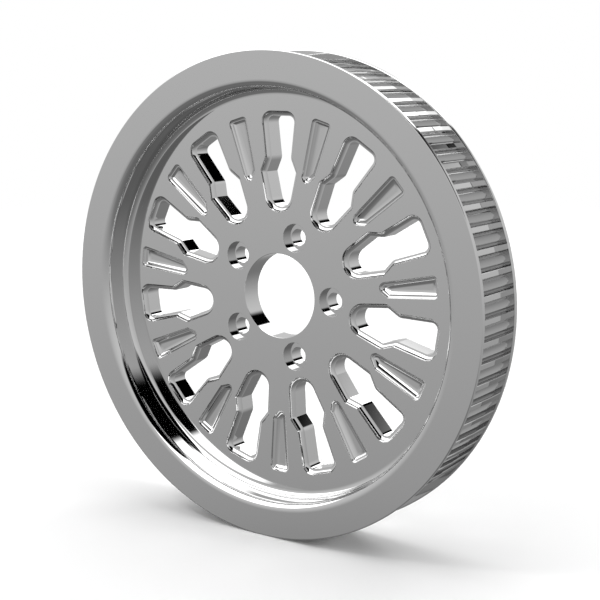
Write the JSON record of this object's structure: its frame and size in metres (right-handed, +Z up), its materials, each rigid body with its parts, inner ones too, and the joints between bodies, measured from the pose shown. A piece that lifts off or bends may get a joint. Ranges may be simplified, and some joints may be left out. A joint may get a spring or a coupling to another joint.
{
  "type": "belt pulley",
  "caption": "Flanged wheel pulley for a toothed belt, with a dished front, a web with waisted windows and blind flutes, a bore and bolt holes.",
  "frame": {"origin": "on the wheel's axis, in the middle of the width over the two flanges", "axes": "Y is the wheel's axis, the dished front looks along -Y, +Z is up, and a window points straight up"},
  "size_m": [0.3186, 0.0454, 0.319],
  "materials": {
    "polished_metal": "machined aluminium, polished and chromed to a mirror"
  },
  "bodies": {
    "root": {"pulley": "polished_metal"}
  },
  "joints": []
}
